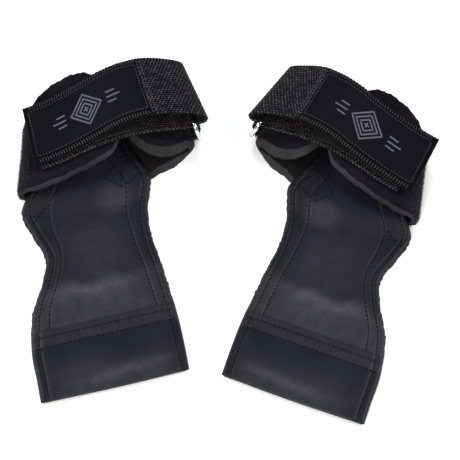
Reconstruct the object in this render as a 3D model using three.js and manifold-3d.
// A mirrored pair of weight-lifting palm grips, in millimetres, +Z up, lying on a flat surface.
// Each grip has a neoprene wrist cuff, a webbing strap that turns back through a steel ring and
// closes on itself with hook and loop, and a long palm pad of rubberised leather with a folded end.
// One grip is worked out in its own frame: U across the pad towards the ring, V from the pad's end
// towards the cuff, Z up. The second grip is the same set of pieces with U turned round.

import * as THREE from 'three';
import { mergeVertices } from 'three/addons/utils/BufferGeometryUtils.js';
import Module from 'manifold-3d';

const wasm = await Module();
wasm.setup();

// ---- driving dimensions ----
const gap = 0.3; // clearance between pieces that lie on each other

// where the two grips lie: the middle of each pad's end edge, the turn about Z in degrees, and how far
// the cuff is turned on its pad about the corner where the pad's thumb edge meets it
const places = {
  left: { at: [-84, -125], turn: 14.7, cuffTurn: 0 },
  right: { at: [45.8, -136.3], turn: -21.9, cuffTurn: -4 },
};
const cuffPivot = [-27, 158];
const cuffPieces = /^(cuff|strap|loop|ring|hook|label)/;

// palm pad
const backThick = 1.0; // cloth backing
const coreThick = 1.0; // thin foam and edge tapes between backing and face
const faceThick = 1.2; // rubberised leather
const tipThick = 5.0; // folded end pocket over its foam
const tipBack = 55.5; // V where the end pocket stops
const bladeFront = 61.5;
const bladeBack = 142;
const heelFront = 148;
const heelBack = 204;
const tapeWidth = 12;
const tapeInset = 1.2;

// wrist cuff
const foamThick = 5.0; // neoprene with cloth on both sides
const cuffFront = 155; // V range that every cuff section is drawn over before it is trimmed
const cuffBack = 260;
const baseLeft = -22; // U where the lower layer ends and the side fold starts
const baseRight = 98.8;
const sideFoldMid = 6.5; // radius of the fold's middle line
const ringFoldMid = 5.5;
const foldLead = 0.6; // straight stretch before each fold's bend
const sideFoldFront = 170;
const sideSlant = 0.34; // the side fold leans towards +U by this much for each mm of V
const slantFrom = 166;

// strap
const webThick = 2.0;
const webWidth = 50;
const lowerMiddle = 208; // V of the middle of each run of webbing
const bightMiddle = 207;
const upperMiddle = 212;
const fastenerThick = 1.0; // hook and loop strips
const fastenerWidth = 44;
const labelThick = 0.8;
const labelWidth = 40;

// ring and its tab
const wireRadius = 1.6;
const ringU = 111;
const ringLowZ = 12.5;
const ringHighZ = 33;
const ringReach = 28.2; // half the length between the end bars' middles
const ringCorner = 4.6;
const tabThick = 1.6;
const tabWidth = 38;

// ---- materials ----
const finish = (color, roughness, metalness = 0) =>
  new THREE.MeshStandardMaterial({ color, roughness, metalness });
const leather = finish(0x2b2e35, 0.55);
const cloth = finish(0x1d1d20, 0.9);
const foam = finish(0x3a3638, 0.95);
const neoprene = finish(0x1c1722, 0.95);
const webbing = finish(0x111114, 0.8);
const fastener = finish(0x17171a, 0.95);
const satin = finish(0x14151a, 0.45);
const steel = finish(0xb9bcc2, 0.2, 1);

// ---- outlines, in the grip's own frame ----
const point = (x, y) => new THREE.Vector2(x, y);
const spline = (...pairs) => new THREE.SplineCurve(pairs.map(([x, y]) => point(x, y)));

// the pad's two long edges, as U against V
const thumbEdge = spline(
  [-54.7, -2], [-53, 18], [-50.7, 43.7], [-42.8, 73.8], [-29.7, 97.1],
  [-22, 117], [-25.8, 136], [-29, 150], [-29.5, 159], [-24.5, 167], [-17, 180], [-8, 208],
);
const outerEdge = spline(
  [55.6, -2], [58, 30], [59, 53.7], [58.6, 92.7], [57.6, 118],
  [60.9, 141], [68.5, 163], [64, 180], [55, 208],
);

// the cuff's layers seen from above
const baseOutline = spline(
  [-21, 168], [10, 162], [50, 160], [78, 163.5], [93, 167.5], [110, 177],
  [110, 233], [85, 240], [47, 247], [24, 250], [-2, 236.5], [-3.5, 222],
);
const longWingOutline = spline(
  [-34, 169], [-22, 169], [10, 171.5], [30, 175], [44, 179.5], [53, 190],
  [54.5, 212], [53, 236], [44, 248], [30, 251.5], [12, 246], [-3, 237], [-16, 224], [-26, 196],
);
const shortWingOutline = spline(
  [112, 177], [97, 174], [82, 169], [69, 173], [60.5, 186],
  [58.5, 207], [61, 226], [72, 236], [88, 237], [112, 232],
);

// middle lines of the layers that bend, as Z against U
const longWingLine = spline([-25, 15.3], [-20, 15.6], [0, 18], [25, 22.5], [56, 26.5]);
const shortWingLine = spline([56, 25.5], [72, 22], [88, 16.2], [98, 13.5], [102, 13.4]);
const lowerLegLine = spline([-14, 20.8], [0, 21.8], [25, 26.3], [52, 29.7], [75, 29.7], [101, 29.2]);
const upperLegLine = spline(
  [-13, 25.9], [0, 26.8], [25, 31.4], [40, 36.2], [55, 42.2],
  [70, 46.6], [84, 48.6], [96, 48.1], [104, 45.9],
);
const bightLine = spline(
  [105, 29.2], [111, 29.2], [116, 31.2], [117.6, 35], [115.8, 39.5], [111, 43.1], [105, 45.6],
);

// the pad's rise on to the cuff, as Z against V
const heelLine = spline([heelFront, 0.55], [151, 1.2], [159.5, 5.5], [164, 5.9], [185, 5.9], [heelBack, 5.9]);

// ---- shape helpers ----

// where a curve that keeps rising in one coordinate reaches a value: the curve parameter
function parameterAt(curve, key, value) {
  let low = 0;
  let high = 1;
  for (let i = 0; i < 40; i += 1) {
    const middle = (low + high) / 2;
    if (curve.getPoint(middle)[key] < value) {
      low = middle;
    } else {
      high = middle;
    }
  }
  return (low + high) / 2;
}

const widthAt = (edge, v) => edge.getPoint(parameterAt(edge, 'y', v)).x;

// a flat shape between two edges over a range of V, each edge moved sideways by its own amount
function panel(v0, v1, leftMove, rightMove, leftEdge = thumbEdge, rightEdge = outerEdge) {
  const rows = Math.max(2, Math.ceil((v1 - v0) / 7));
  const left = [];
  const right = [];
  for (let i = 0; i <= rows; i += 1) {
    const v = v0 + ((v1 - v0) * i) / rows;
    left.push(point(widthAt(leftEdge, v) + leftMove, v));
    right.push(point(widthAt(rightEdge, v) + rightMove, v));
  }
  return new THREE.Shape([...right, ...left.reverse()]);
}

// a closed outline through its points
function closedOutline(curve, corners = 44) {
  const points = curve.points.map((p) => new THREE.Vector3(p.x, p.y, 0));
  const loop = new THREE.CatmullRomCurve3(points, true);
  return new THREE.Shape(loop.getPoints(corners).slice(0, -1).map((p) => point(p.x, p.y)));
}

// the section of a layer that follows a line at a distance to its side
function ribbonThrough(points, thick, side = 0) {
  const normals = points.map((p, i) => {
    const before = points[Math.max(i - 1, 0)];
    const after = points[Math.min(i + 1, points.length - 1)];
    const along = after.clone().sub(before).normalize();
    return point(-along.y, along.x);
  });
  const moved = (distance) => points.map((p, i) => p.clone().addScaledVector(normals[i], distance));
  return new THREE.Shape([...moved(side - thick / 2), ...moved(side + thick / 2).reverse()]);
}

function ribbon(line, thick, { from = 0, to = 1, side = 0, steps = 20 } = {}) {
  const points = [];
  for (let i = 0; i <= steps; i += 1) {
    points.push(line.getPoint(from + ((to - from) * i) / steps));
  }
  return ribbonThrough(points, thick, side);
}

function arc(u, z, radius, startDegrees, endDegrees, steps) {
  const points = [];
  for (let i = 0; i <= steps; i += 1) {
    const a = THREE.MathUtils.degToRad(startDegrees + ((endDegrees - startDegrees) * i) / steps);
    points.push(point(u + radius * Math.cos(a), z + radius * Math.sin(a)));
  }
  return points;
}

// extrusions: upwards from a plan, along V from a U-Z section, and along U from a V-Z section
const extruded = (shape, depth) =>
  new THREE.ExtrudeGeometry(shape, { depth, bevelEnabled: false, steps: 1 });
const slab = (shape, z0, z1) => extruded(shape, z1 - z0).translate(0, 0, z0);
const alongV = (shape, v0, v1) => extruded(shape, v1 - v0).rotateX(Math.PI / 2).translate(0, v1, 0);
const alongU = (shape, u0, u1) =>
  extruded(shape, u1 - u0)
    .applyMatrix4(new THREE.Matrix4().makeBasis(
      new THREE.Vector3(0, 1, 0), new THREE.Vector3(0, 0, 1), new THREE.Vector3(1, 0, 0),
    ))
    .translate(u0, 0, 0);

// slants a section along V, all of it or fading out from the side fold towards fadeTo
function slanted(geometry, fadeTo) {
  const position = geometry.getAttribute('position');
  for (let i = 0; i < position.count; i += 1) {
    const u = position.getX(i);
    const fade = (fadeTo - u) / (fadeTo - baseLeft);
    const share = fadeTo === Infinity ? 1 : THREE.MathUtils.clamp(fade, 0, 1);
    position.setX(i, u + share * sideSlant * (position.getY(i) - slantFrom));
  }
  return geometry;
}

// ---- booleans ----
function solidOf(geometry) {
  const bare = new THREE.BufferGeometry();
  bare.setAttribute('position', geometry.getAttribute('position'));
  bare.setIndex(geometry.getIndex());
  const merged = mergeVertices(bare, 1e-4);
  return new wasm.Manifold(new wasm.Mesh({
    numProp: 3,
    vertProperties: Float32Array.from(merged.getAttribute('position').array),
    triVerts: Uint32Array.from(merged.getIndex().array),
  }));
}

function geometryOf(solid) {
  const mesh = solid.getMesh();
  const geometry = new THREE.BufferGeometry();
  geometry.setAttribute('position', new THREE.BufferAttribute(mesh.vertProperties, 3));
  geometry.setIndex(new THREE.BufferAttribute(mesh.triVerts, 1));
  return geometry;
}

const trimmed = (geometry, cutter) => geometryOf(solidOf(geometry).intersect(solidOf(cutter)));
const tall = 80; // trims reach from below the surface to above the strap
const plan = (shape) => slab(shape, -5, tall);

// ---- wrist cuff ----
const baseCentre = foamThick / 2;

// the stretch of cuff between the two folds, from one height to another
function betweenFolds(z0, z1) {
  const across = new THREE.Shape([
    point(baseLeft, z0), point(baseRight, z0), point(baseRight, z1), point(baseLeft, z1),
  ]);
  return slanted(alongV(across, cuffFront, cuffBack), baseRight);
}

const cuffBase = () => trimmed(betweenFolds(0, foamThick), plan(closedOutline(baseOutline)));

// a half turn with a short straight lead at each end, opening towards +U (side 1) or -U (side -1)
function halfTurn(openAt, radius, side) {
  const low = baseCentre;
  const high = baseCentre + 2 * radius;
  const bend = arc(openAt - side * foldLead, baseCentre + radius, radius, 90, 90 + side * 180, 10);
  return [point(openAt, high), ...bend, point(openAt, low)];
}

function sideFold() {
  const section = ribbonThrough(halfTurn(baseLeft - gap, sideFoldMid, 1), foamThick);
  return slanted(alongV(section, sideFoldFront, 222), Infinity);
}

function longWing() {
  const sheet = slanted(alongV(ribbon(longWingLine, foamThick, { steps: 10 }), cuffFront, cuffBack), 56);
  return trimmed(trimmed(sheet, betweenFolds(-1, tall)), plan(closedOutline(longWingOutline)));
}

function ringFold() {
  const section = ribbonThrough(halfTurn(baseRight + gap, ringFoldMid, -1).reverse(), foamThick);
  return alongV(section, 178, 232);
}

function shortWing() {
  const sheet = alongV(ribbon(shortWingLine, foamThick, { steps: 8 }), cuffFront, cuffBack);
  return trimmed(trimmed(sheet, betweenFolds(-1, tall)), plan(closedOutline(shortWingOutline)));
}

// ---- strap ----
const runAlongV = (shape, middle, width) => alongV(shape, middle - width / 2, middle + width / 2);
const stackSide = webThick / 2 + gap + fastenerThick / 2; // from a web's middle to a fastener's

const lowerLeg = () => runAlongV(ribbon(lowerLegLine, webThick), lowerMiddle, webWidth);
const bight = () => runAlongV(ribbon(bightLine, webThick, { steps: 16 }), bightMiddle, webWidth);
const upperLeg = () => runAlongV(ribbon(upperLegLine, webThick, { steps: 24 }), upperMiddle, webWidth);

function loopStrip() {
  const to = parameterAt(lowerLegLine, 'x', 60);
  const section = ribbon(lowerLegLine, fastenerThick, { from: 0.03, to, side: stackSide, steps: 12 });
  return runAlongV(section, lowerMiddle + 2, fastenerWidth);
}

function hookStrip() {
  const to = parameterAt(upperLegLine, 'x', 46);
  const section = ribbon(upperLegLine, fastenerThick, { from: 0.02, to, side: -stackSide, steps: 12 });
  return runAlongV(section, upperMiddle, fastenerWidth);
}

function label() {
  const to = parameterAt(upperLegLine, 'x', 77);
  const side = webThick / 2 + gap + labelThick / 2;
  const section = ribbon(upperLegLine, labelThick, { from: 0.015, to, side, steps: 16 });
  return runAlongV(section, upperMiddle + 1, labelWidth);
}

// ---- ring and tab ----
function ring() {
  const halfHeight = (ringHighZ - ringLowZ) / 2;
  const middle = new THREE.Vector3(ringU, bightMiddle, ringLowZ + halfHeight);
  const corners = [[1, 1], [-1, 1], [-1, -1], [1, -1]];
  const points = corners.flatMap(([alongSide, upSide], quarter) => {
    const v = alongSide * (ringReach - ringCorner);
    const z = upSide * (halfHeight - ringCorner);
    return arc(v, z, ringCorner, quarter * 90, quarter * 90 + 90, 4)
      .map((p) => new THREE.Vector3(0, p.x, p.y).add(middle));
  });
  const path = new THREE.CatmullRomCurve3(points, true, 'centripetal');
  return new THREE.TubeGeometry(path, 56, wireRadius, 10, true);
}

function ringTab() {
  const turn = wireRadius + gap + tabThick / 2;
  const innerPly = ringU - 1.6;
  const outerPly = innerPly + tabThick + gap;
  const path = [
    point(innerPly, 0.5), point(innerPly, 8.6),
    ...arc(ringU, ringLowZ, turn, 200, -20, 10),
    point(outerPly, 8.4), point(outerPly, 0.5),
  ];
  return runAlongV(ribbonThrough(path, tabThick), bightMiddle, tabWidth);
}

// ---- palm pad ----
const heelPlan = () => plan(panel(heelFront - 1, heelBack + 1, 0, 0));
const padPlan = () => plan(panel(0, tipBack + 1, 0, 0));
const wide = 90;
const coreLow = backThick + gap;
const faceLow = coreLow + coreThick + gap;
const tapeSpan = tapeInset + tapeWidth;

const heelBacking = () => trimmed(alongU(ribbon(heelLine, backThick), -wide, wide), heelPlan());

function heelFace() {
  const side = backThick / 2 + gap + faceThick / 2;
  return trimmed(alongU(ribbon(heelLine, faceThick, { side }), -wide, wide), heelPlan());
}

const bladeBacking = () => slab(panel(bladeFront, bladeBack, 0, 0), 0, backThick);
const bladeFace = () => slab(panel(bladeFront, bladeBack, 0, 0), faceLow, faceLow + faceThick);

function bladeCore() {
  const inset = tapeSpan + gap;
  return slab(panel(bladeFront + 1, bladeBack - 1, inset, -inset), coreLow, coreLow + coreThick);
}

function edgeTape(edge, sign) {
  const near = sign * tapeInset;
  const far = sign * tapeSpan;
  const strip = sign > 0
    ? panel(bladeFront + 1, bladeBack - 1, near, far, edge, edge)
    : panel(bladeFront + 1, bladeBack - 1, far, near, edge, edge);
  return slab(strip, coreLow, coreLow + coreThick);
}

// one strip of leather over the top, round the end and back underneath
function tipCover() {
  const mid = (tipThick - faceThick) / 2;
  const path = [
    point(tipBack, tipThick - faceThick / 2),
    ...arc(mid + faceThick / 2, tipThick / 2, mid, 90, 270, 8),
    point(tipBack, faceThick / 2),
  ];
  return trimmed(alongU(ribbonThrough(path, faceThick), -wide, wide), padPlan());
}

function tipCore() {
  const low = faceThick + gap;
  return slab(panel(4, tipBack - 1, 2, -2), low, tipThick - low);
}

// ---- every piece of one grip ----
const pieces = [
  ['cuff_base', cuffBase(), neoprene],
  ['cuff_side_fold', sideFold(), neoprene],
  ['cuff_long_wing', longWing(), neoprene],
  ['cuff_ring_fold', ringFold(), neoprene],
  ['cuff_short_wing', shortWing(), neoprene],
  ['strap_lower_leg', lowerLeg(), webbing],
  ['loop_strip', loopStrip(), fastener],
  ['ring_tab', ringTab(), webbing],
  ['heel_backing', heelBacking(), cloth],
  ['heel_face', heelFace(), leather],
  ['ring', ring(), steel],
  ['strap_bight', bight(), webbing],
  ['strap_upper_leg', upperLeg(), webbing],
  ['hook_strip', hookStrip(), fastener],
  ['label', label(), satin],
  ['blade_backing', bladeBacking(), cloth],
  ['blade_core', bladeCore(), foam],
  ['blade_thumb_tape', edgeTape(thumbEdge, 1), webbing],
  ['blade_outer_tape', edgeTape(outerEdge, -1), webbing],
  ['blade_face', bladeFace(), leather],
  ['tip_cover', tipCover(), leather],
  ['tip_core', tipCore(), foam],
];

// the mirror image of a closed geometry, with its faces turned to point outwards again
function mirrored(geometry) {
  const copy = mergeVertices(geometry.clone().deleteAttribute('normal').deleteAttribute('uv'));
  copy.scale(-1, 1, 1);
  const index = copy.getIndex();
  for (let i = 0; i < index.count; i += 3) {
    const first = index.getX(i);
    index.setX(i, index.getX(i + 1));
    index.setX(i + 1, first);
  }
  return copy;
}

// the cuff, with its strap and ring, as it lies turned on the end of the pad
function turnedCuff(side) {
  const cuff = new THREE.Group();
  const corner = new THREE.Vector3(side === 'right' ? -cuffPivot[0] : cuffPivot[0], cuffPivot[1], 0);
  cuff.rotation.z = THREE.MathUtils.degToRad(places[side].cuffTurn);
  cuff.position.copy(corner).sub(corner.clone().applyEuler(cuff.rotation));
  return cuff;
}

function makeGrip(side) {
  const grip = new THREE.Group();
  const cuff = turnedCuff(side);
  grip.add(cuff);
  for (const [name, geometry, material] of pieces) {
    const shape = side === 'right' ? mirrored(geometry) : geometry;
    shape.computeVertexNormals();
    const mesh = new THREE.Mesh(shape, material);
    mesh.name = `${side}_${name}`;
    (cuffPieces.test(name) ? cuff : grip).add(mesh);
  }
  const { at, turn } = places[side];
  grip.position.set(at[0], at[1], 0);
  grip.rotation.z = THREE.MathUtils.degToRad(turn);
  return grip;
}

// the pair, with the origin under the middle of its box
const pair = new THREE.Group();
pair.add(makeGrip('left'), makeGrip('right'));
pair.updateMatrixWorld(true);
const box = new THREE.Box3().setFromObject(pair, true);
const centre = box.getCenter(new THREE.Vector3());
pair.position.set(-centre.x, -centre.y, -box.min.z);
pair.updateMatrixWorld(true);

export default pair;
